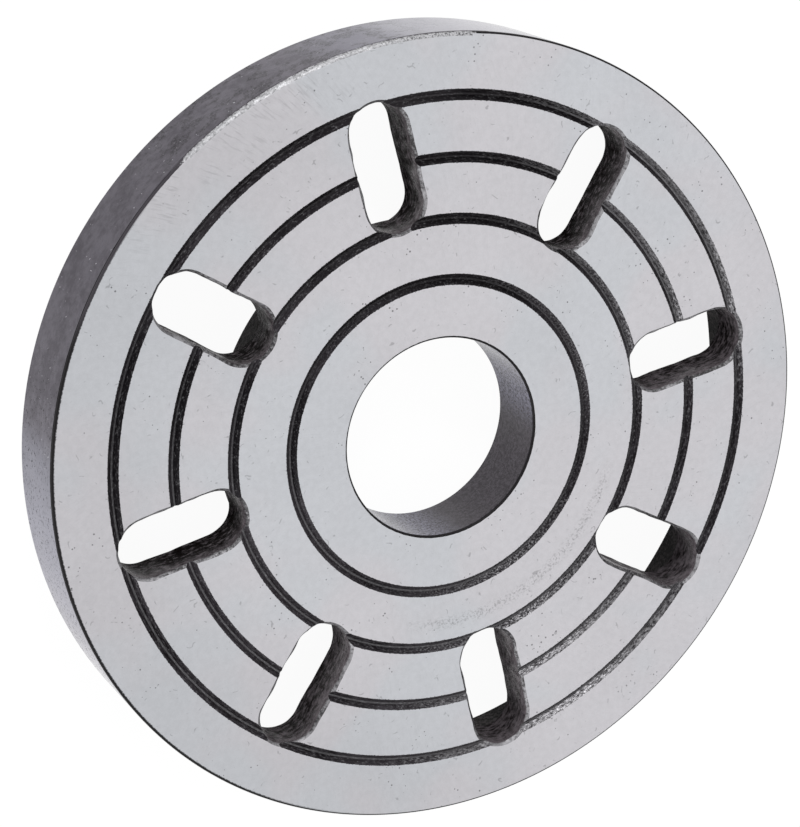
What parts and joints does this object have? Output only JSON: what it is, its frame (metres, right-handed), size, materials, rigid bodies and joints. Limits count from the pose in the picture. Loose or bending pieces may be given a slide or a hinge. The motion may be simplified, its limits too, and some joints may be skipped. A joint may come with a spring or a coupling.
{
  "type": "lathe faceplate",
  "caption": "Round cast-iron lathe faceplate with a plain bore, radial through slots and concentric V-grooves on its work face, recessed at the back.",
  "frame": {"origin": "on the bore axis, in the plane of the back of the rim and hub, on which the plate lies", "axes": "+Z along the bore axis, out of the work face; +X through the middle of one radial slot"},
  "size_m": [0.16, 0.16, 0.0185],
  "materials": {
    "casting": "fine-turned grey cast iron, rough cast in the slots and the back pocket"
  },
  "bodies": {
    "root": {"faceplate": "casting"}
  },
  "joints": []
}
